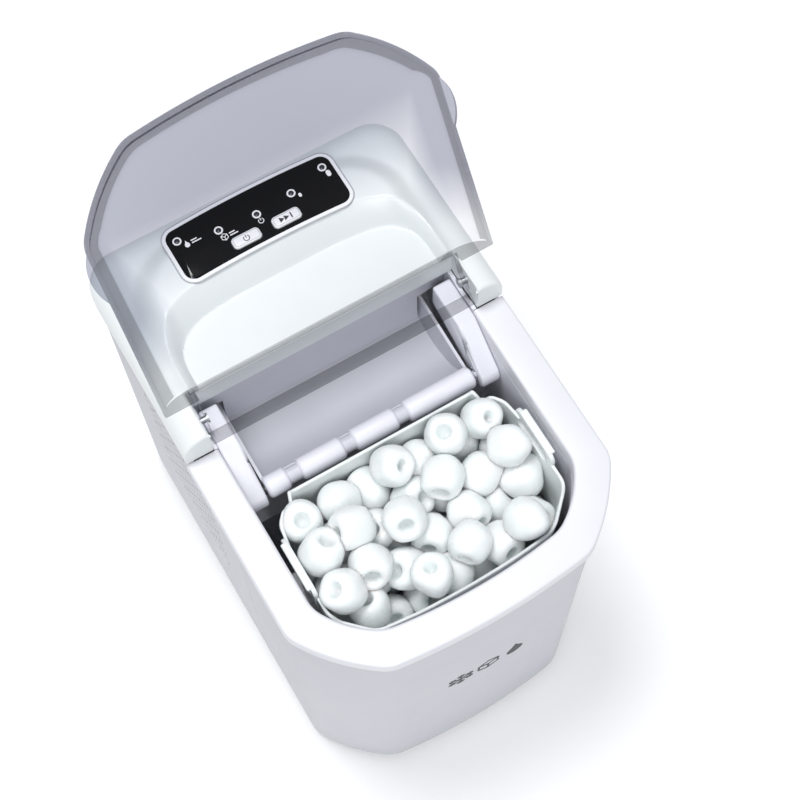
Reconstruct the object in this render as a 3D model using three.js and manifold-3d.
// Countertop bullet-ice maker, modelled as an assembly of separate pieces. Millimetres, +Z up.
// The front faces -Y. The origin is on the ground, under the middle of the machine.
// The lid is drawn closed and then turned open about its hinge, because open is its rest pose.
import * as THREE from 'three';
import { mergeVertices } from 'three/addons/utils/BufferGeometryUtils.js';
import Module from 'manifold-3d';

const wasm = await Module();
wasm.setup();

// ---- driving dimensions -------------------------------------------------------------------
const WIDTH = 228; // over the deck ring
const DEPTH = 325; // from the bowed front of the deck to the rear panel
const DECK_TOP = 290; // flat top of the white deck ring
const CONSOLE_RISE = 36; // console top above the deck
const DECK_THICK = 10;
const RIM_WIDTH = 22; // width of the deck ring round its opening
const CHAMFER_X = 44.3; // front corner chamfer, across
const CHAMFER_Y = 47.3; // front corner chamfer, front to back
const CHAMFER_BOW = 4; // how far each chamfer bulges
const FRONT_BOW = 4.8; // how far the front edge bulges
const REAR_RADIUS = 24; // vertical rear corners
const DRAFT = 2; // extra inset of the casing at its foot
const CASE_INSET = 3; // casing inside the deck's edge, at the top
const COVER_INSET = 0.6; // rear cover inside the deck's edge
const WALL = 2.5; // moulded walls
const GAP = 0.3; // between pieces that touch
const FOOT_HEIGHT = 8;
const FOOT_RADIUS = 11;
const CAP_FRONT = 15.8; // front faces of the two shoulders of the rear cover
const CONSOLE_FRONT = 47.3; // wall of the console behind the hinge
const NECK_HALF = 95; // half the gap between the shoulders
const PIVOT = { y: 30, z: DECK_TOP + 17 }; // lid hinge axis, along X
const OPEN_ANGLE = 124; // lid travel in degrees
const LID_RISE = 17.4; // closed lid, above the deck
const LID_WALL = 2.4;
const LID_OVERHANG = 5; // closed lid past the deck's front edge
const SHAFT = { y: -11, z: DECK_TOP - 32 }; // tilt axis of the water tray, along X
const SHAFT_RADIUS = 2;
const CHAMBER_BACK = 85; // rear wall of the ice chamber
const RESERVOIR_BACK = 2; // rear wall of the water reservoir below it
const RESERVOIR_FLOOR = 60;
const TRAY_HALF = 76; // half-length of the water tray
const TRAY_RADIUS = 44; // trough of the water tray
const TRAY_WALL = 2;
const BASKET_HALF = 85; // half-width of the basket at its rim
const BASKET_BACK = -24.5; // rear wall of the basket
const BASKET_RIM = DECK_TOP - 18;
const BASKET_DEPTH = 104;
const BASKET_WALL = 2;
const PANEL = { x: 117, y: 38, centre: 126, bow: 1.6, corner: 7 };
const BUTTON = { x: 19.5, y: 8.6, row: 116.3, centres: [-13.5, 15] };
const LED = { pitch: 26, row: 128.1, rise: 8.5, radius: 1.7 };
const VENT = { y0: 2, y1: 96, z0: 106, rows: 12, rowPitch: 11.8, columnPitch: 6.7, width: 2, height: 7 };

// ---- derived sizes ------------------------------------------------------------------------
const FRONT = -DEPTH / 2;
const REAR = DEPTH / 2;
const CONSOLE_TOP = DECK_TOP + CONSOLE_RISE;
const CASE_TOP = DECK_TOP - DECK_THICK - GAP;
const CASE_BOTTOM = FOOT_HEIGHT;
const COVER_BOTTOM = DECK_TOP + 1.5;
const REAR_FACE = REAR + COVER_INSET - CASE_INSET; // outer face of the rear panel, at its top
const SEAM_Y = -33; // front casing meets the side panels
const REAR_PANEL_HALF = WIDTH / 2 - REAR_RADIUS - 4;
const CHAMBER_HALF = WIDTH / 2 - RIM_WIDTH;
const SKIRT_BOTTOM = DECK_TOP - 16;
const LINER_TOP = SKIRT_BOTTOM - GAP;

// ---- finishes -----------------------------------------------------------------------------
const finish = (color, roughness, metalness = 0) =>
  new THREE.MeshStandardMaterial({ color, roughness, metalness });
const deckWhite = finish('#eceef2', 0.35);
const casingWhite = finish('#d6d9dd', 0.42);
const consoleWhite = finish('#dfe5e5', 0.38);
const linerWhite = finish('#dcdfe6', 0.45);
const basketWhite = finish('#e4e9ea', 0.4);
const trayGrey = finish('#aeb1bf', 0.4);
const glossBlack = finish('#121317', 0.12);
const softWhite = finish('#f0f1f2', 0.4);
const blackPlastic = finish('#1c1d1f', 0.5);
const blackRubber = finish('#1a1a1b', 0.8);
const darkSteel = finish('#26282b', 0.45, 0.3);
const galvanised = finish('#b4b7ba', 0.4, 0.9);
const copper = finish('#b8734c', 0.3, 1);
const brightSteel = finish('#c9cbce', 0.25, 1);
const circuitGreen = finish('#1f5a3a', 0.5);
const hoseClear = finish('#d7dbdc', 0.3);
const lidClear = new THREE.MeshStandardMaterial(
  { color: '#cfd0e0', roughness: 0.08, transparent: true, opacity: 0.35 });

// ---- geometry tools -----------------------------------------------------------------------
const up = new THREE.Matrix4();
const alongX = new THREE.Matrix4().makeBasis(
  new THREE.Vector3(0, 1, 0), new THREE.Vector3(0, 0, 1), new THREE.Vector3(1, 0, 0));
const alongY = new THREE.Matrix4().makeBasis(
  new THREE.Vector3(0, 0, 1), new THREE.Vector3(1, 0, 0), new THREE.Vector3(0, 1, 0));

// A closed geometry as a solid that can be cut and joined
function solid(geometry) {
  geometry.deleteAttribute('normal');
  geometry.deleteAttribute('uv');
  const bare = mergeVertices(geometry, 1e-4);
  return new wasm.Manifold(new wasm.Mesh({
    numProp: 3,
    vertProperties: new Float32Array(bare.attributes.position.array),
    triVerts: new Uint32Array(bare.index.array),
  }));
}

const join = (...solids) => solids.reduce((a, b) => a.add(b));
const cut = (body, ...tools) => tools.reduce((a, b) => a.subtract(b), body);

function block(x0, x1, y0, y1, z0, z1) {
  const box = new THREE.BoxGeometry(x1 - x0, y1 - y0, z1 - z0);
  return solid(box.translate((x0 + x1) / 2, (y0 + y1) / 2, (z0 + z1) / 2));
}

// A shape swept in a straight line. Along X the shape is drawn in (y, z), along Y in (z, x).
function prism(shape, from, to, direction = up, curveSegments = 6) {
  const geometry = new THREE.ExtrudeGeometry(
    shape, { depth: to - from, bevelEnabled: false, curveSegments });
  return solid(geometry.translate(0, 0, from).applyMatrix4(direction));
}

// A round bar or disc from one end to the other, along the direction's own axis
function bar(radius, centre, from, to, direction = up, sides = 20, endRadius = radius) {
  const geometry = new THREE.CylinderGeometry(endRadius, radius, to - from, sides);
  geometry.rotateX(Math.PI / 2).translate(centre[0], centre[1], (from + to) / 2);
  return solid(geometry.applyMatrix4(direction));
}

// A solid through outlines of equal point count, stacked from low to high
function loft(layers) {
  const count = layers[0].points.length;
  const positions = [];
  const index = [];
  for (const { points, z } of layers) {
    for (const p of points) positions.push(p.x, p.y, z);
  }
  for (let level = 0; level + 1 < layers.length; level += 1) {
    for (let i = 0; i < count; i += 1) {
      const a = level * count + i;
      const b = level * count + ((i + 1) % count);
      index.push(a, b, b + count, a, b + count, a + count);
    }
  }
  const last = (layers.length - 1) * count;
  for (const [a, b, c] of THREE.ShapeUtils.triangulateShape(layers[0].points, [])) {
    index.push(c, b, a);
  }
  for (const [a, b, c] of THREE.ShapeUtils.triangulateShape(layers.at(-1).points, [])) {
    index.push(last + a, last + b, last + c);
  }
  const geometry = new THREE.BufferGeometry();
  geometry.setAttribute('position', new THREE.Float32BufferAttribute(positions, 3));
  geometry.setIndex(index);
  return solid(geometry);
}

const column = (points, z0, z1) => loft([{ points, z: z0 }, { points, z: z1 }]);

// A round tube or wire along a smooth curve through points
function tube(points, radius, steps, sides = 8) {
  const curve = new THREE.CatmullRomCurve3(points.map((p) => new THREE.Vector3(...p)));
  const section = new THREE.Shape();
  for (let i = 0; i < sides; i += 1) {
    const angle = (i * 2 * Math.PI) / sides;
    const corner = [radius * Math.cos(angle), radius * Math.sin(angle)];
    if (i === 0) section.moveTo(...corner);
    else section.lineTo(...corner);
  }
  return solid(new THREE.ExtrudeGeometry(section, { steps, extrudePath: curve }));
}

function roundedRectangle(x0, x1, y0, y1, radius) {
  const shape = new THREE.Shape();
  shape.moveTo(x0 + radius, y0).lineTo(x1 - radius, y0);
  shape.absarc(x1 - radius, y0 + radius, radius, -Math.PI / 2, 0);
  shape.absarc(x1 - radius, y1 - radius, radius, 0, Math.PI / 2);
  shape.absarc(x0 + radius, y1 - radius, radius, Math.PI / 2, Math.PI);
  shape.absarc(x0 + radius, y0 + radius, radius, Math.PI, Math.PI * 1.5);
  return shape;
}

// A polygon with every edge moved in by distance
function shrink(points, distance) {
  return points.map((p, i) => {
    const before = points.at(i - 1);
    const after = points[(i + 1) % points.length];
    const a = new THREE.Vector2().subVectors(p, before).normalize();
    const b = new THREE.Vector2().subVectors(after, p).normalize();
    const inward = new THREE.Vector2(-a.y - b.y, a.x + b.x).normalize();
    const stretch = distance / Math.max(0.3, inward.dot(new THREE.Vector2(-a.y, a.x)));
    return p.clone().addScaledVector(inward, stretch);
  });
}

// ---- the plan of the machine --------------------------------------------------------------
const LEAN = Math.atan2(CHAMFER_X, CHAMFER_Y);

// Points of a bowed edge from one corner to the next, without its last point
function bowed(from, to, bow, steps) {
  const along = new THREE.Vector2().subVectors(to, from);
  const out = new THREE.Vector2(along.y, -along.x).normalize();
  return Array.from({ length: steps }, (_, i) => {
    const t = i / steps;
    return from.clone().addScaledVector(along, t).addScaledVector(out, 4 * bow * t * (1 - t));
  });
}

// Deck outline moved in by inset, anticlockwise from the left rear, ending at the rear line
function plan(inset, rear = REAR, rearRadius = 0) {
  const side = WIDTH / 2 - inset;
  const shoulder = FRONT + FRONT_BOW + CHAMFER_Y + inset * Math.tan(LEAN / 2);
  const corner = WIDTH / 2 - CHAMFER_X - inset * Math.tan((Math.PI / 2 - LEAN) / 2);
  const front = FRONT + FRONT_BOW + inset;
  const at = (x, y) => new THREE.Vector2(x, y);
  const points = [
    ...bowed(at(-side, shoulder), at(-corner, front), CHAMFER_BOW, 6),
    ...bowed(at(-corner, front), at(corner, front), FRONT_BOW, 8),
    ...bowed(at(corner, front), at(side, shoulder), CHAMFER_BOW, 6),
    at(side, shoulder),
  ];
  const turns = rearRadius > 0 ? 6 : 0;
  for (let i = 0; i <= turns; i += 1) {
    const angle = turns ? (i / turns) * (Math.PI / 2) : 0;
    points.push(at(side - rearRadius + rearRadius * Math.cos(angle),
      rear - rearRadius + rearRadius * Math.sin(angle)));
  }
  for (let i = 0; i <= turns; i += 1) {
    const angle = Math.PI / 2 + (turns ? (i / turns) * (Math.PI / 2) : 0);
    points.push(at(-side + rearRadius + rearRadius * Math.cos(angle),
      rear - rearRadius + rearRadius * Math.sin(angle)));
  }
  if (!turns) points.splice(-2, 2, at(side, rear), at(-side, rear));
  return points;
}

const bodyPlan = (inset) =>
  plan(inset, REAR + COVER_INSET - inset, Math.max(4, REAR_RADIUS - inset));
const rings = (pairs) => pairs.map(([z, inset]) => ({ points: bodyPlan(inset), z }));

const group = new THREE.Group();
const lidGroup = new THREE.Group();
group.add(lidGroup);

function add(name, shape, material, parent = group) {
  const { vertProperties, triVerts } = shape.getMesh();
  const geometry = new THREE.BufferGeometry();
  geometry.setAttribute('position', new THREE.BufferAttribute(vertProperties, 3));
  geometry.setIndex(new THREE.BufferAttribute(triVerts, 1));
  geometry.computeVertexNormals();
  const mesh = new THREE.Mesh(geometry, material);
  mesh.name = name;
  parent.add(mesh);
}

// ---- base, feet and casing ----------------------------------------------------------------
function casing(top) {
  const lower = CASE_INSET + DRAFT;
  return cut(
    loft(rings([[CASE_BOTTOM, lower], [top, CASE_INSET]])),
    loft(rings([[CASE_BOTTOM - 1, lower + WALL], [top + 1, CASE_INSET + WALL]])));
}

function addBase() {
  const inset = CASE_INSET + DRAFT + WALL + 0.6;
  const pan = cut(column(bodyPlan(inset), FOOT_HEIGHT, FOOT_HEIGHT + 10),
    column(bodyPlan(inset + 2), FOOT_HEIGHT + 2, FOOT_HEIGHT + 11));
  add('base_pan', pan, galvanised);
  const footX = WIDTH / 2 - 34;
  for (const [end, y] of [['front', FRONT + 45], ['rear', REAR - 34]]) {
    for (const [side, x] of [['left', -footX], ['right', footX]]) {
      const foot = bar(FOOT_RADIUS - 2, [x, y], 0, FOOT_HEIGHT - GAP, up, 16, FOOT_RADIUS);
      add(`foot_${end}_${side}`, foot, blackRubber);
    }
  }
}

// Upright through-slots in one side panel, every second one of a close grid
function ventSlots(side) {
  const columns = Math.floor((VENT.y1 - VENT.y0) / VENT.columnPitch);
  const slots = [];
  for (let row = 0; row < VENT.rows; row += 1) {
    for (let i = row % 2; i < columns; i += 2) {
      const y = VENT.y0 + (i + 0.5) * VENT.columnPitch;
      const z = VENT.z0 + (row + 0.5) * VENT.rowPitch;
      slots.push(block(
        side > 0 ? WIDTH / 2 - 12 : -WIDTH / 2, side > 0 ? WIDTH / 2 : -WIDTH / 2 + 12,
        y - VENT.width / 2, y + VENT.width / 2, z - VENT.height / 2, z + VENT.height / 2));
    }
  }
  return slots;
}

const DRAIN = { y: -70, z: 42, radius: 9 };

// Half-width of the casing's outer face at a height
const caseSideAt = (z) => WIDTH / 2 - CASE_INSET - (DRAFT * (CASE_TOP - z)) / (CASE_TOP - CASE_BOTTOM);
const INLET = { x: 52, z: 48, wide: 30, high: 24 };

function addCasing() {
  const far = 400;
  const low = casing(CASE_TOP);
  const front = low.intersect(block(-far, far, -far, SEAM_Y, 0, far));
  const drainHole = bar(DRAIN.radius - 3, [DRAIN.y, DRAIN.z], 90, far, alongX, 16);
  add('front_casing', cut(front, drainHole), casingWhite);

  const tall = casing(COVER_BOTTOM - GAP);
  const underDeck = block(-far, far, -far, CAP_FRONT, CASE_TOP, far);
  const inside = REAR_PANEL_HALF + GAP;
  const left = cut(tall.intersect(block(-far, -inside, SEAM_Y + GAP, far, 0, far)),
    underDeck, ...ventSlots(-1));
  const right = cut(tall.intersect(block(inside, far, SEAM_Y + GAP, far, 0, far)),
    underDeck, ...ventSlots(1));
  add('left_side_panel', left, casingWhite);
  add('right_side_panel', right, casingWhite);

  let back = tall.intersect(block(-REAR_PANEL_HALF, REAR_PANEL_HALF, 0, far, 0, far));
  back = back.intersect(block(-far, far, REAR - 12, far, 0, far));
  const grille = [];
  for (let i = 0; i < 9; i += 1) {
    const z = 150 + i * 9;
    grille.push(block(-48, 48, REAR_FACE - 20, REAR + 5, z - 1.6, z + 1.6));
  }
  back = cut(back, ...grille, block(INLET.x - INLET.wide / 2, INLET.x + INLET.wide / 2,
    REAR_FACE - 20, REAR + 5, INLET.z - INLET.high / 2, INLET.z + INLET.high / 2));
  for (const [i, [x, z]] of [[-72, 30], [72, 30], [-72, 276], [72, 276]].entries()) {
    back = cut(back, bar(2.2, [z, x], REAR_FACE - 12, REAR + 5, alongY, 12));
    const shank = bar(1.7, [z, x], REAR_FACE - 10, REAR_FACE + 0.5, alongY, 8);
    const head = bar(3.6, [z, x], REAR_FACE + GAP, REAR_FACE + 2, alongY, 12);
    add(`rear_screw_${i + 1}`, join(shank, head), brightSteel);
  }
  add('rear_panel', back, casingWhite);
  const inner = block(INLET.x - INLET.wide / 2 + GAP, INLET.x + INLET.wide / 2 - GAP,
    REAR_FACE - 26, REAR_FACE - 0.5, INLET.z - INLET.high / 2 + GAP, INLET.z + INLET.high / 2 - GAP);
  const well = block(INLET.x - 10, INLET.x + 10, REAR_FACE - 20, REAR, INLET.z - 7, INLET.z + 7);
  const pins = [-7, 0, 7].map((x) => block(
    INLET.x + x - 1, INLET.x + x + 1, REAR_FACE - 21, REAR_FACE - 6, INLET.z - 2.5, INLET.z + 2.5));
  add('mains_inlet', join(cut(inner, well), ...pins), blackPlastic);
}

// ---- deck ring, liner and insulation ------------------------------------------------------
function addDeck() {
  const end = CAP_FRONT - GAP;
  const at = (z, inset) => ({ points: plan(inset, end), z });
  const slab = loft([at(DECK_TOP - DECK_THICK, 1.2), at(DECK_TOP - DECK_THICK + 2, 0),
    at(DECK_TOP - 1.5, 0), at(DECK_TOP, 1.2)]);
  const skirt = column(plan(RIM_WIDTH - WALL, end), SKIRT_BOTTOM, DECK_TOP - 1);
  const opening = column(plan(RIM_WIDTH, end + 10), SKIRT_BOTTOM - 5, DECK_TOP + 5);
  add('rim_ring', cut(join(slab, skirt), opening), deckWhite);
}

// Side view of the ice chamber: reservoir, then the swing of the water tray, then the back wall
function chamberSide(grow) {
  const radius = CHAMBER_BACK - SHAFT.y - 3 + grow;
  const foot = RESERVOIR_BACK + grow;
  const shape = new THREE.Shape();
  const start = Math.asin((foot - SHAFT.y) / radius);
  const end = Math.asin(Math.min(1, (CHAMBER_BACK + grow - SHAFT.y) / (radius + 3)));
  shape.moveTo(-400, RESERVOIR_FLOOR - grow);
  shape.lineTo(foot, RESERVOIR_FLOOR - grow);
  for (let i = 0; i <= 10; i += 1) {
    const angle = start + ((end - start) * i) / 10;
    shape.lineTo(SHAFT.y + radius * Math.sin(angle), SHAFT.z - radius * Math.cos(angle));
  }
  shape.lineTo(CHAMBER_BACK + grow, SHAFT.z);
  shape.lineTo(CHAMBER_BACK + grow, 500);
  shape.lineTo(-400, 500);
  return shape;
}

const LINER_SEAT = DECK_TOP - 38 - BASKET_DEPTH + 17; // ledges that carry the basket

// The room that the lid's neck sweeps as it turns
const neckSwing = () => bar(18, [PIVOT.y, PIVOT.z], -NECK_HALF, NECK_HALF, alongX, 32);

function addLiner() {
  const outer = column(plan(RIM_WIDTH - WALL, CHAMBER_BACK + WALL), RESERVOIR_FLOOR - WALL,
    COVER_BOTTOM - GAP).intersect(prism(chamberSide(WALL), -200, 200, alongX));
  const inner = column(plan(RIM_WIDTH, CHAMBER_BACK), RESERVOIR_FLOOR, DECK_TOP + 20)
    .intersect(prism(chamberSide(0), -200, 200, alongX));
  const underRing = block(-300, 300, -400, CAP_FRONT, LINER_TOP, 500);
  const ledge = (s) => block(Math.min(s * 73, s * (CHAMBER_HALF + 1)),
    Math.max(s * 73, s * (CHAMBER_HALF + 1)), -98, -40, LINER_SEAT - 6, LINER_SEAT - GAP);
  const shaftHole = bar(SHAFT_RADIUS + 1, [SHAFT.y, SHAFT.z], -CHAMBER_HALF - 6,
    -CHAMBER_HALF + 2, alongX, 12);
  const drainHole = bar(5, [DRAIN.y, RESERVOIR_FLOOR + 6], CHAMBER_HALF - 3,
    CHAMBER_HALF + 6, alongX, 12);
  const shell = cut(outer, inner, underRing);
  add('inner_liner', cut(join(shell, ledge(-1), ledge(1)), shaftHole, drainHole, neckSwing()),
    linerWhite);
  add('floor_insulation', column(plan(RIM_WIDTH, RESERVOIR_BACK - 2), FOOT_HEIGHT + 3,
    RESERVOIR_FLOOR - WALL - GAP), softWhite);
}

// ---- rear cover with console, scoop and hinge shoulders -----------------------------------
const COVER_LEVELS = [[1.5, COVER_INSET], [13, COVER_INSET], [19, 3.2], [23, 6.5], [25, 11], [26, 18],
  [32, 24], [34.8, 28.5], [CONSOLE_RISE, 33]];

// Half of a rounded arch, as wide and deep as given, standing on the console's front line
function scoopPoints(half, deep) {
  const points = [];
  for (let i = 0; i <= 24; i += 1) {
    const angle = (Math.PI * i) / 24;
    const c = Math.cos(angle);
    const s = Math.sin(angle);
    points.push(new THREE.Vector2(half * Math.sign(c) * Math.abs(c) ** 0.5,
      CONSOLE_FRONT + deep * s ** 0.5));
  }
  points.push(new THREE.Vector2(-half, CONSOLE_FRONT - 20));
  points.push(new THREE.Vector2(half, CONSOLE_FRONT - 20));
  return points;
}

const SCOOP = { half: 92, deep: 60, floor: CONSOLE_TOP - 14, slope: 13, top: CONSOLE_TOP + 1 };

function scoop(grow) {
  const bottom = scoopPoints(SCOOP.half - SCOOP.slope / 2 + grow, SCOOP.deep - SCOOP.slope - 2 + grow);
  const top = scoopPoints(SCOOP.half + grow, SCOOP.deep + grow);
  return loft([{ points: bottom, z: SCOOP.floor - grow }, { points: top, z: SCOOP.top - 3 },
    { points: top, z: SCOOP.top + 20 }]);
}

// The fascia's bowed band, moved in by inset
function bandShape(inset) {
  const halfX = PANEL.x / 2 + 2.4 - inset;
  const low = PANEL.centre - PANEL.y / 2 - 2.4 + inset;
  const high = PANEL.centre + PANEL.y / 2 + 2.4 - inset;
  const r = Math.max(2, PANEL.corner + 2.4 - inset);
  const shape = new THREE.Shape();
  shape.moveTo(-halfX + r, low);
  shape.quadraticCurveTo(0, low + 2 * PANEL.bow, halfX - r, low);
  shape.absarc(halfX - r, low + r, r, -Math.PI / 2, 0);
  shape.absarc(halfX - r, high - r, r, 0, Math.PI / 2);
  shape.quadraticCurveTo(0, high + 2 * PANEL.bow, -halfX + r, high);
  shape.absarc(-halfX + r, high - r, r, Math.PI / 2, Math.PI);
  shape.absarc(-halfX + r, low + r, r, Math.PI, Math.PI * 1.5);
  return shape;
}

const ledPlaces = [-2, -1, 0, 1, 2].map((i) => [i * LED.pitch, LED.row + (LED.rise * i * i) / 4]);
const LED_NAMES = ['add_water', 'ice_full', 'power', 'small', 'large'];

function buttonPrism(x, grow, z0, z1) {
  return prism(roundedRectangle(x - BUTTON.x / 2 - grow, x + BUTTON.x / 2 + grow,
    BUTTON.row - BUTTON.y / 2 - grow, BUTTON.row + BUTTON.y / 2 + grow, 2.6 + grow), z0, z1, up, 3);
}

function consoleHoles(z0, z1) {
  return [
    ...BUTTON.centres.map((x) => buttonPrism(x, 0.5, z0, z1)),
    ...ledPlaces.map(([x, y]) => bar(LED.radius + GAP, [x, y], z0, z1, up, 12)),
  ];
}

const FASCIA_SEAT = CONSOLE_TOP - 1;

function addConsole() {
  const far = 400;
  const outer = loft(rings(COVER_LEVELS.map(([z, inset]) => [DECK_TOP + z, inset])));
  const innerLevels = COVER_LEVELS.map(([z, inset]) => [
    DECK_TOP + z - (z > 13 ? WALL : 0), inset + WALL]);
  const inner = loft(rings([[DECK_TOP, COVER_INSET + WALL], ...innerLevels.slice(1)]));
  const neck = block(-NECK_HALF, NECK_HALF, -far, CONSOLE_FRONT, 0, far);
  const front = block(-far, far, -far, CAP_FRONT, 0, far);
  const cheek = NECK_HALF + WALL;
  const rooms = join(block(-far, far, CONSOLE_FRONT + WALL, far, 0, far),
    block(-far, -cheek, CAP_FRONT + WALL, far, 0, far),
    block(cheek, far, CAP_FRONT + WALL, far, 0, far));
  const hollow = cut(inner.intersect(rooms), scoop(WALL));
  const pinHoles = bar(2.5, [PIVOT.y, PIVOT.z], -NECK_HALF - 5, NECK_HALF + 5, alongX, 12);
  const seat = prism(bandShape(0), FASCIA_SEAT, far, up, 8);
  const cover = cut(outer, neck, front, hollow, scoop(0), pinHoles, seat,
    ...consoleHoles(CONSOLE_TOP - 12, CONSOLE_TOP));
  add('rear_top_cover', cover, consoleWhite);

  const border = cut(prism(bandShape(GAP), FASCIA_SEAT + GAP, CONSOLE_TOP + 0.6, up, 8),
    prism(bandShape(2.4), CONSOLE_TOP - 5, CONSOLE_TOP + 5, up, 8));
  add('fascia_border', border, softWhite);
  const fascia = cut(prism(bandShape(2.4 + GAP), FASCIA_SEAT + GAP, CONSOLE_TOP + 0.5, up, 8),
    ...consoleHoles(CONSOLE_TOP - 5, CONSOLE_TOP + 5));
  add('control_fascia', fascia, glossBlack);

  const boardTop = CONSOLE_TOP - 10;
  const board = join(block(-58, 58, PANEL.centre - 15, PANEL.centre + 12, boardTop - 1.6, boardTop),
    block(-50, -30, PANEL.centre - 14, PANEL.centre - 2, boardTop - 12, boardTop - 1),
    block(32, 48, PANEL.centre - 12, PANEL.centre + 8, boardTop - 8, boardTop - 1));
  add('control_board', board, circuitGreen);
  for (const [i, [x, y]] of ledPlaces.entries()) {
    add(`led_${LED_NAMES[i]}`,
      bar(LED.radius, [x, y], boardTop + GAP, CONSOLE_TOP + 0.7, up, 12), hoseClear);
  }
  for (const [i, name] of ['on_off_button', 'select_button'].entries()) {
    const x = BUTTON.centres[i];
    const flange = buttonPrism(x, 1.2, CONSOLE_TOP - 5.2, CONSOLE_TOP - WALL - 1.7);
    add(name, join(buttonPrism(x, 0, boardTop + 1.6, CONSOLE_TOP + 1.6), flange), softWhite);
  }
}

// ---- ice-making parts ---------------------------------------------------------------------
const TRAY_CENTRE = { y: 36, z: DECK_TOP - 20 };

// The trough's section: part of a ring, from its front lip down and up to its back edge
function troughSection(radius, thick) {
  const from = Math.PI + 0.27;
  const to = 2 * Math.PI - 0.12;
  const shape = new THREE.Shape();
  const at = (r, angle) => [TRAY_CENTRE.y + r * Math.cos(angle), TRAY_CENTRE.z + r * Math.sin(angle)];
  const steps = 16;
  for (let i = 0; i <= steps; i += 1) {
    const p = at(radius, from + ((to - from) * i) / steps);
    if (i === 0) shape.moveTo(...p);
    else shape.lineTo(...p);
  }
  if (!thick) return shape;
  for (let i = steps; i >= 0; i -= 1) {
    shape.lineTo(...at(radius - thick, from + ((to - from) * i) / steps));
  }
  return shape;
}

const KNUCKLES = [[-76, -60], [-52, -20], [-13, 19], [26, 76]]; // sleeves on the tray's shaft

function addTray() {
  const trough = prism(troughSection(TRAY_RADIUS, TRAY_WALL), -TRAY_HALF, TRAY_HALF, alongX);
  const ends = [-TRAY_HALF, TRAY_HALF - TRAY_WALL].map((x) =>
    prism(troughSection(TRAY_RADIUS, 0), x, x + TRAY_WALL, alongX));
  const sleeves = KNUCKLES.map(([x0, x1]) => bar(7.5, [SHAFT.y, SHAFT.z], x0, x1, alongX, 18));
  const core = bar(5.4, [SHAFT.y, SHAFT.z], KNUCKLES[0][0], KNUCKLES.at(-1)[1], alongX, 18);
  const webs = KNUCKLES.map(([x0, x1]) =>
    block(x0, x1, SHAFT.y + 4, TRAY_CENTRE.y - TRAY_RADIUS + 3.5, SHAFT.z - 5, SHAFT.z + 1));
  const bore = bar(SHAFT_RADIUS + GAP, [SHAFT.y, SHAFT.z], -TRAY_HALF - 5, TRAY_HALF + 5, alongX, 12);
  add('water_tray', cut(join(trough, ...ends, core, ...sleeves, ...webs), bore), trayGrey);
  add('tray_shaft', bar(SHAFT_RADIUS, [SHAFT.y, SHAFT.z], -CHAMBER_HALF - 2.8, CHAMBER_HALF - 1,
    alongX, 12), brightSteel);

  const top = DECK_TOP - 1;
  const arm = new THREE.Shape();
  arm.moveTo(SHAFT.y + 1, SHAFT.z - 10);
  arm.lineTo(26, SHAFT.z + 4).lineTo(44, SHAFT.z + 10).lineTo(44, top).lineTo(12, top);
  arm.absarc(SHAFT.y, SHAFT.z, 10, Math.PI * 0.75, Math.PI * 1.45);
  const slot = prism(roundedRectangle(1, 4.4, SHAFT.z + 17, SHAFT.z + 27, 1.6), -83, 83, alongX, 3);
  const bearing = bar(SHAFT_RADIUS + GAP, [SHAFT.y, SHAFT.z], -200, 200, alongX, 12);
  for (const [side, x0, x1] of [['left', -CHAMBER_HALF + GAP, -TRAY_HALF - 2.5],
    ['right', TRAY_HALF + 2.5, CHAMBER_HALF - GAP]]) {
    const bracket = cut(prism(arm, x0, x1, alongX), neckSwing(), slot, bearing);
    add(`tray_bracket_${side}`, bracket, linerWhite);
  }

  const clip = (x0, x1) => cut(bar(3.6, [SHAFT.y, SHAFT.z], x0, x1, alongX, 16),
    bar(SHAFT_RADIUS + GAP, [SHAFT.y, SHAFT.z], -200, 200, alongX, 12),
    block(-200, 200, SHAFT.y - 10, SHAFT.y, SHAFT.z - 1.4, SHAFT.z + 1.4));
  add('shaft_clip_left', clip(-TRAY_HALF - 1.8, -TRAY_HALF - 0.5), blackPlastic);
  const springLeg = tube([[TRAY_HALF + 1.6, SHAFT.y + 3.4, SHAFT.z],
    [TRAY_HALF + 1.6, SHAFT.y + 5, SHAFT.z + 8],
    [TRAY_HALF + 1.6, 0, SHAFT.z + 16], [TRAY_HALF + 1.6, 4, SHAFT.z + 25]], 0.6, 14, 8);
  add('shaft_spring_right', join(clip(TRAY_HALF + 0.8, TRAY_HALF + 2.2), springLeg), brightSteel);

  const motorEnd = WALL + 0.7 - caseSideAt(SHAFT.z);
  const motor = join(bar(14, [SHAFT.y, SHAFT.z], motorEnd, -CHAMBER_HALF - 3.4, alongX, 20),
    block(-CHAMBER_HALF - 12, -CHAMBER_HALF - 4, SHAFT.y - 20, SHAFT.y + 20, SHAFT.z - 4, SHAFT.z + 4));
  add('tray_motor', motor, darkSteel);
}

const GUARD = { y: 51.6, thick: 1.4, low: DECK_TOP - 52, ears: DECK_TOP - 22, top: DECK_TOP - 1 };

// A curtain in front of the fingers that dips into the trough and reaches to the chamber's walls
function addGuard() {
  const edge = CHAMBER_HALF - GAP;
  const dip = TRAY_HALF - TRAY_WALL - 2;
  const { low, ears, top } = GUARD;
  const shape = new THREE.Shape();
  shape.moveTo(low, -dip).lineTo(low, dip).lineTo(ears, dip).lineTo(ears + 5, edge);
  shape.lineTo(top, edge).lineTo(top, -edge).lineTo(ears + 5, -edge).lineTo(ears, -dip);
  add('splash_guard', prism(shape, GUARD.y, GUARD.y + GUARD.thick, alongY), linerWhite);
}

const FINGERS = { count: 9, pitch: 15, radius: 4.2, y: 62, tip: DECK_TOP - 44 };
const HEADER_Z = DECK_TOP + 8;

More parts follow.
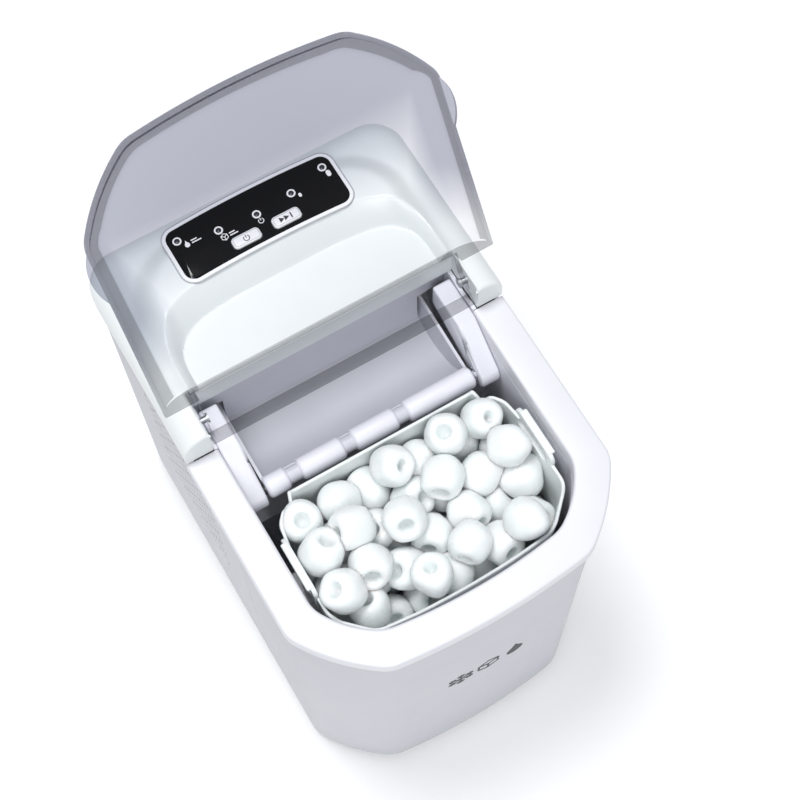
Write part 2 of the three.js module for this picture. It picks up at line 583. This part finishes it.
function addRefrigeration() {
  const half = ((FINGERS.count - 1) * FINGERS.pitch) / 2;
  const fingers = [];
  for (let i = 0; i < FINGERS.count; i += 1) {
    fingers.push(bar(FINGERS.radius - 1, [i * FINGERS.pitch - half, FINGERS.y], FINGERS.tip,
      HEADER_Z, up, 12, FINGERS.radius));
  }
  const header = bar(5, [FINGERS.y, HEADER_Z], -half - 6, half + 6, alongX, 12);
  add('evaporator', join(header, ...fingers), copper);

  const can = new THREE.LatheGeometry([[0, 14], [40, 14], [47, 20], [48, 40], [48, 112], [45, 132],
    [34, 147], [16, 152], [0, 153]].map(([r, z]) => new THREE.Vector2(r, z)), 28);
  const body = solid(can.rotateX(Math.PI / 2).translate(-52, 105, 0));
  const plate = block(-98, -6, 92, 118, 12, 16);
  add('compressor', join(body, plate), darkSteel);

  const fins = [];
  for (let i = 0; i < 10; i += 1) {
    const z = 63 + i * 10.5;
    fins.push(block(74, 96, 8, 98, z, z + 1.6));
  }
  const runs = [20, 86].map((y) => bar(4, [85, y], 60, 163, up, 8));
  add('condenser', join(...fins, ...runs), galvanised);

  const fanZ = 118;
  const fanY = 54;
  const duct = cut(block(48, 70, fanY - 46, fanY + 46, fanZ - 46, fanZ + 46),
    bar(42, [fanY, fanZ], 40, 80, alongX, 32));
  const spokes = [block(66, 70, fanY - 44, fanY + 44, fanZ - 2.5, fanZ + 2.5),
    block(66, 70, fanY - 2.5, fanY + 2.5, fanZ - 44, fanZ + 44)];
  const hubHole = bar(12.3, [fanY, fanZ], 40, 80, alongX, 20);
  add('fan_housing', join(duct, ...spokes, bar(15, [fanY, fanZ], 66, 70, alongX, 20)).subtract(hubHole), blackPlastic);
  add('fan_motor', join(bar(12, [fanY, fanZ], 63, 71, alongX, 20),
    bar(1.5, [fanY, fanZ], 51, 64, alongX, 10)), darkSteel);
  const blades = [];
  for (let i = 0; i < 7; i += 1) {
    const blade = new THREE.BoxGeometry(1.4, 22, 27);
    blade.rotateZ(0.55).translate(0, 0, 25.5).rotateX((i * 2 * Math.PI) / 7);
    blades.push(solid(blade.translate(56, fanY, fanZ)));
  }
  const rotor = cut(join(bar(13, [fanY, fanZ], 50, 62.5, alongX, 20), ...blades),
    bar(1.5 + GAP, [fanY, fanZ], 40, 80, alongX, 10));
  add('fan_blade', rotor.intersect(bar(39.5, [fanY, fanZ], 49.5, 62.6, alongX, 32)), blackPlastic);

  add('discharge_pipe', tube([[-40, 97, 154.2], [-40, 98, 166], [-20, 98, 180], [40, 96, 188],
    [72, 91, 186], [83, 87, 178], [85, 86, 163.6]], 3, 24, 6), copper);
  add('suction_pipe', tube([[-34, 124, 151.5], [-34, 130, 180], [-10, 140, DECK_TOP - 60], [40, 140, DECK_TOP - 10],
    [76, 118, HEADER_Z], [86, 88, HEADER_Z], [80, 68, HEADER_Z], [half + 7.2, FINGERS.y, HEADER_Z]],
  3, 30, 6), copper);
  add('capillary_pipe', tube([[85, 20, 59.4], [85, 22, 46], [86, 44, 36], [92, 90, 34],
    [100, 112, 44], [102, 118, 90], [102, 118, DECK_TOP - 50], [98, 108, DECK_TOP - 20],
    [74, 98, DECK_TOP + 2],
    [54, 82, HEADER_Z], [50, FINGERS.y + 5.6, HEADER_Z]], 1.6, 44, 6), copper);
}

function addWater() {
  const pump = join(bar(17, [-72, 26], FOOT_HEIGHT + 4, 52, up, 18),
    bar(5, [-72, 26], 50, 62, up, 12), block(-92, -52, 20, 32, FOOT_HEIGHT + 2.4, 18));
  add('water_pump', pump, darkSteel);
  const outside = -CHAMBER_HALF - 9;
  add('pump_hose', tube([[-72, 26, 62.8], [-74, 26, 74], [-90, 26, 92], [outside, 27, 116],
    [outside, 30, DECK_TOP - 90], [outside, 42, DECK_TOP - 20], [outside + 1, 56, DECK_TOP],
    [outside + 12, 66, HEADER_Z + 2],
    [outside + 26, 70, HEADER_Z]], 3.4, 30, 6), hoseClear);
  for (const [side, s] of [['left', -1], ['right', 1]]) {
    const x = s * (CHAMBER_HALF + WALL + GAP);
    add(`ir_sensor_${side}`, block(Math.min(x, x + s * 6), Math.max(x, x + s * 6),
      -52, -38, DECK_TOP - 34, DECK_TOP - 22), blackPlastic);
  }
  const wallX = caseSideAt(DRAIN.z);
  add('drain_tube', tube([[CHAMBER_HALF - 1, DRAIN.y, RESERVOIR_FLOOR + 6],
    [wallX - 12, DRAIN.y, RESERVOIR_FLOOR + 5], [wallX - 9.6, DRAIN.y, RESERVOIR_FLOOR - 2],
    [wallX - 9.6, DRAIN.y, DRAIN.z + 8], [wallX - 9.2, DRAIN.y, DRAIN.z + 2],
    [wallX - 6.2, DRAIN.y, DRAIN.z]], 3.6, 16), hoseClear);
  const cap = join(bar(DRAIN.radius - 3.5, [DRAIN.y, DRAIN.z], wallX - 3.4, wallX + 1, alongX, 16),
    bar(DRAIN.radius, [DRAIN.y, DRAIN.z], wallX + GAP, wallX + 3, alongX, 24));
  add('drain_cap', join(cap, block(wallX + 2, wallX + 4.6, DRAIN.y - 1.5, DRAIN.y + 1.5,
    DRAIN.z - DRAIN.radius + 1.5, DRAIN.z + DRAIN.radius - 1.5)), casingWhite);
}

// ---- basket -------------------------------------------------------------------------------
function basketOutline(inset) {
  const half = [[BASKET_HALF, -60], [BASKET_HALF, -108.5], [63.5, -130], [32, -133]];
  const rear = [[67, BASKET_BACK], [70, -31], [76, -34], [82, -41]];
  const right = [...rear, ...half];
  const clockwise = [...right, [0, -134], ...right.map(([x, y]) => [-x, y]).reverse()];
  const points = clockwise.map(([x, y]) => new THREE.Vector2(x, y)).reverse();
  return shrink(points, inset);
}

function addBasket() {
  const bottom = BASKET_RIM - BASKET_DEPTH;
  const shell = cut(
    loft([{ points: basketOutline(5), z: bottom }, { points: basketOutline(0), z: BASKET_RIM }]),
    loft([{ points: basketOutline(5 + BASKET_WALL), z: bottom + 2.5 },
      { points: basketOutline(BASKET_WALL), z: BASKET_RIM + 0.01 }]));
  const tabs = [];
  const holes = [];
  for (const s of [-1, 1]) {
    const x0 = Math.min(s * (BASKET_HALF - 1.8), s * (BASKET_HALF + 1.2));
    const tab = roundedRectangle(-94, -50, BASKET_RIM - 18, BASKET_RIM + 8, 5);
    tabs.push(prism(tab, x0, x0 + 3, alongX, 3));
    const grip = roundedRectangle(-89, -55, BASKET_RIM - 8, BASKET_RIM + 2, 4.9);
    holes.push(prism(grip, s > 0 ? 70 : -100, s > 0 ? 100 : -70, alongX, 4));
    for (const y of [-60, -73, -86]) {
      holes.push(block(s > 0 ? 70 : -100, s > 0 ? 100 : -70, y - 3, y + 3,
        BASKET_RIM - 42, BASKET_RIM - 24));
    }
  }
  for (let i = -2; i <= 2; i += 1) {
    for (const y of [-105, -80, -55]) {
      holes.push(block(i * 26 - 8, i * 26 + 8, y - 3, y + 3, bottom - 5, bottom + 5));
    }
  }
  add('ice_basket', cut(join(shell, ...tabs), ...holes), basketWhite);
}

// ---- lid ----------------------------------------------------------------------------------
function addLid() {
  const foot = DECK_TOP + 1;
  const top = DECK_TOP + LID_RISE;
  const rear = PIVOT.y - 24;
  const layer = (z, inset, end) => ({
    points: plan(inset, end + LID_OVERHANG).map((p) => p.clone().setY(p.y - LID_OVERHANG)), z });
  const outer = loft([layer(foot, 0, rear), layer(foot + 4, 0.4, rear), layer(top - 2, 13, rear),
    layer(top, 18, rear)]);
  const w = LID_WALL;
  const inner = loft([layer(foot - 1, w, rear + 10), layer(foot + 4 - w / 2, w + 0.4, rear + 10),
    layer(top - 2 - w, 13 + w / 2, rear + 10), layer(top - w, 18 + w / 2, rear + 10)]);
  const neckHalf = NECK_HALF - 1.5;
  const closed = join(block(-300, 300, -300, rear - w, 0, 400),
    block(-neckHalf + w, neckHalf - w, -300, rear + 5, 0, 400));
  const shell = cut(outer, inner.intersect(closed));
  const end = PIVOT.y + 14.5;
  const high = PIVOT.z + 6.4;
  const lip = PIVOT.z - 8;
  const profile = (points) => {
    const shape = new THREE.Shape();
    points.forEach(([y, z], i) => (i ? shape.lineTo(y, z) : shape.moveTo(y, z)));
    return shape;
  };
  const neck = prism(profile([[rear - w, top], [rear, top], [rear + 6, high], [end, high], [end, lip],
    [end - w, lip], [end - w, high - w], [rear + 7, high - w], [rear + 1, top - w], [rear - w, top - w]]),
  -neckHalf, neckHalf, alongX);
  const cheekShape = profile([[rear - w, top - 5], [rear - w, top], [rear, top], [rear + 6, high],
    [end, high], [end, lip], [end - 4, lip], [PIVOT.y + 5, PIVOT.z - 4], [PIVOT.y - 5, PIVOT.z - 4]]);
  const cheeks = [-neckHalf, neckHalf - w].map((x) => join(prism(cheekShape, x, x + w, alongX),
    bar(6.5, [PIVOT.y, PIVOT.z], x, x + w, alongX, 20)));
  const tabs = [-1, 1].map((s) => {
    const y = FRONT + FRONT_BOW + CHAMFER_Y + 20 - LID_OVERHANG;
    const disc = bar(31, [s * (WIDTH / 2 - 26.5), y], foot, foot + 2.4, up, 56);
    return disc.intersect(block(s > 0 ? WIDTH / 2 - 1.5 : -200, s > 0 ? 200 : -WIDTH / 2 + 1.5,
      -400, 400, 0, 400));
  });
  const pinHoles = bar(2.3, [PIVOT.y, PIVOT.z], -200, 200, alongX, 12);
  add('lid', cut(join(shell, neck, ...cheeks, ...tabs), pinHoles), lidClear, lidGroup);
  for (const [side, s] of [['left', -1], ['right', 1]]) {
    const x0 = neckHalf - w - 1;
    const x1 = NECK_HALF + WALL - 0.2;
    const pin = join(bar(2, [PIVOT.y, PIVOT.z], s > 0 ? x0 : -x1, s > 0 ? x1 : -x0, alongX, 12),
      bar(3.4, [PIVOT.y, PIVOT.z], s > 0 ? x0 - 1 : -x0 - GAP + 0.3, s > 0 ? x0 + 0.7 : -x0 + 1,
        alongX, 12));
    add(`hinge_pin_${side}`, pin, brightSteel, lidGroup);
  }
  const turn = new THREE.Matrix4().makeTranslation(0, PIVOT.y, PIVOT.z)
    .multiply(new THREE.Matrix4().makeRotationX(-THREE.MathUtils.degToRad(OPEN_ANGLE)))
    .multiply(new THREE.Matrix4().makeTranslation(0, -PIVOT.y, -PIVOT.z));
  lidGroup.applyMatrix4(turn);
}

addBase();
addCasing();
addDeck();
addLiner();
addConsole();
addTray();
addGuard();
addRefrigeration();
addWater();
addBasket();
addLid();

export default group;
